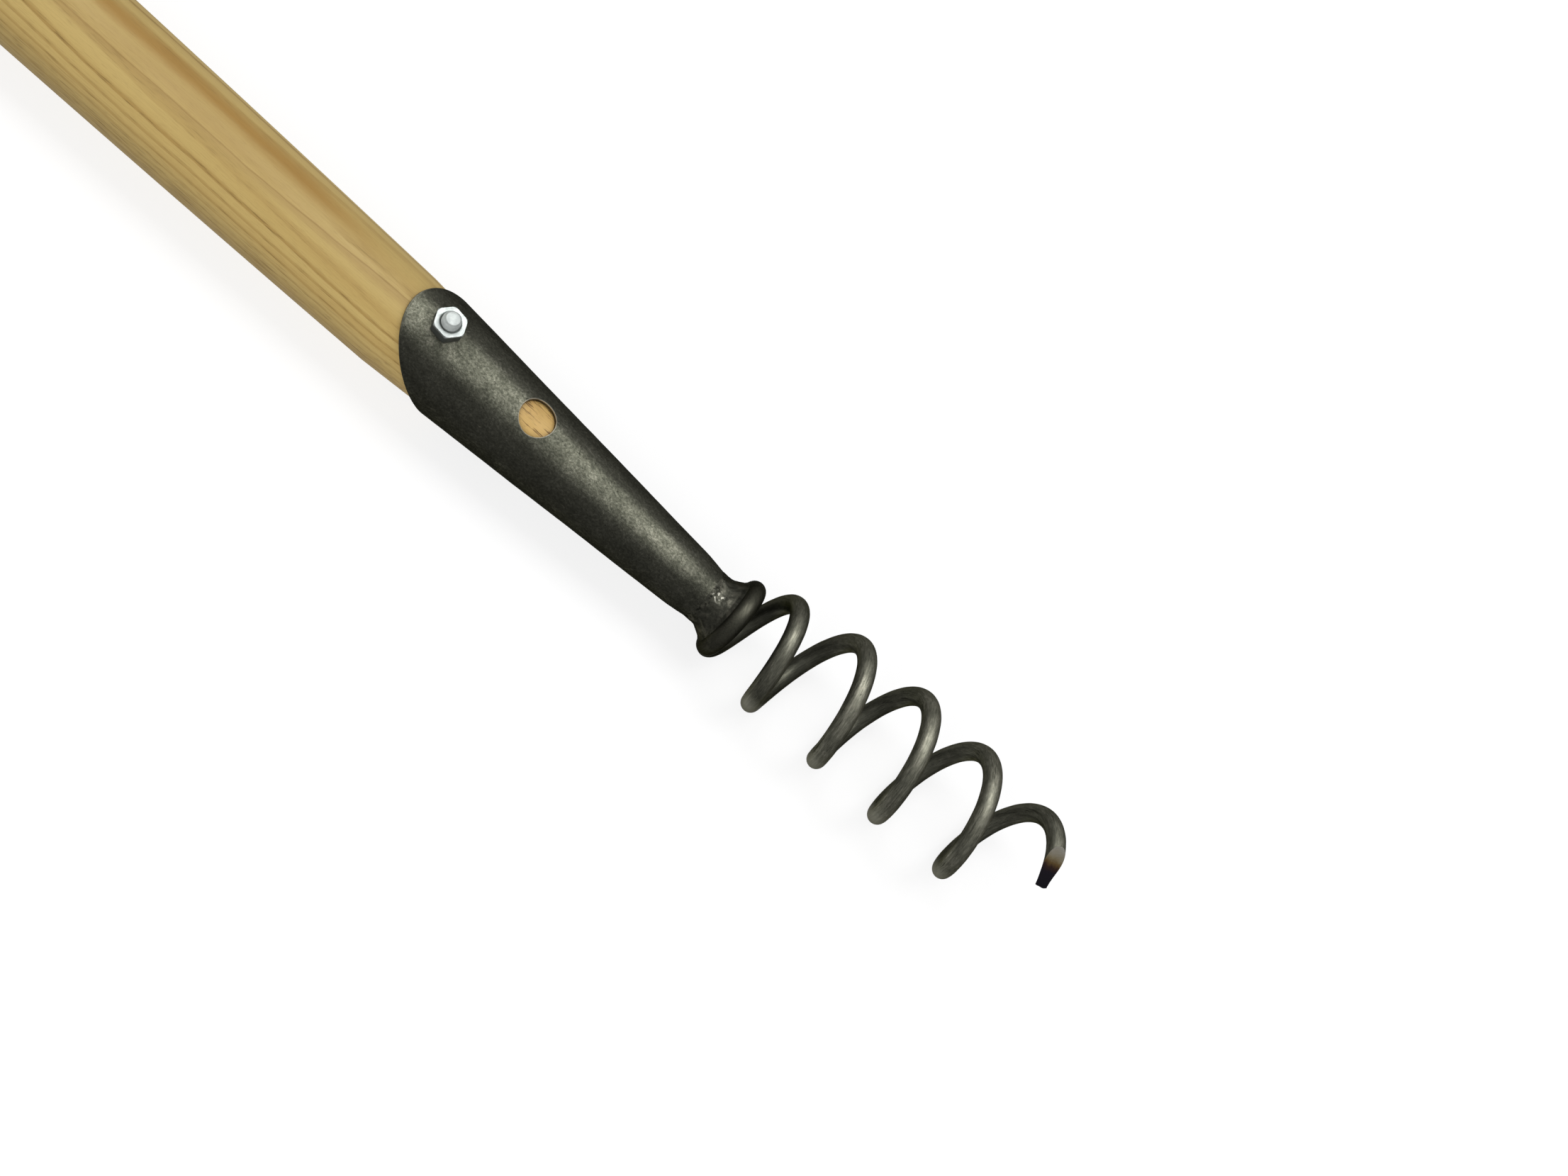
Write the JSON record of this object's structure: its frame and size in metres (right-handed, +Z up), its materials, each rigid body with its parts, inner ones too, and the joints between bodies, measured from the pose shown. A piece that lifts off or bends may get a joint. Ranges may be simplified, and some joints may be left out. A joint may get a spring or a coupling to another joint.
{
  "type": "soil corkscrew auger",
  "caption": "T-handled hand auger: open right-handed corkscrew of round rod on a forged tapered socket, bolted to a wooden shaft with a barrel-shaped cross grip.",
  "frame": {"origin": "under the middle of the tool's length and width, on the surface that it lies on", "axes": "+X along the shaft towards the ground point, +Y along the cross grip, +Z up on the nut's side"},
  "size_m": [0.952, 0.25, 0.0474],
  "materials": {
    "ash_grip": "sanded ash, lightly oiled",
    "ash_shaft": "turned ash, lightly oiled",
    "ash_wedge": "split hardwood",
    "scaled_steel": "forged, black scale, oiled",
    "weld_steel": "blackened weld",
    "rod_steel": "dark drawn rod, worn bright along its length",
    "zinc_bolt": "bright zinc",
    "zinc_nut": "bright zinc"
  },
  "bodies": {
    "root": {"t_grip": "ash_grip", "shaft": "ash_shaft", "tenon_wedge": "ash_wedge", "socket": "scaled_steel", "weld_collar": "weld_steel", "corkscrew": "rod_steel", "carriage_bolt": "zinc_bolt", "hex_nut": "zinc_nut"}
  },
  "joints": []
}
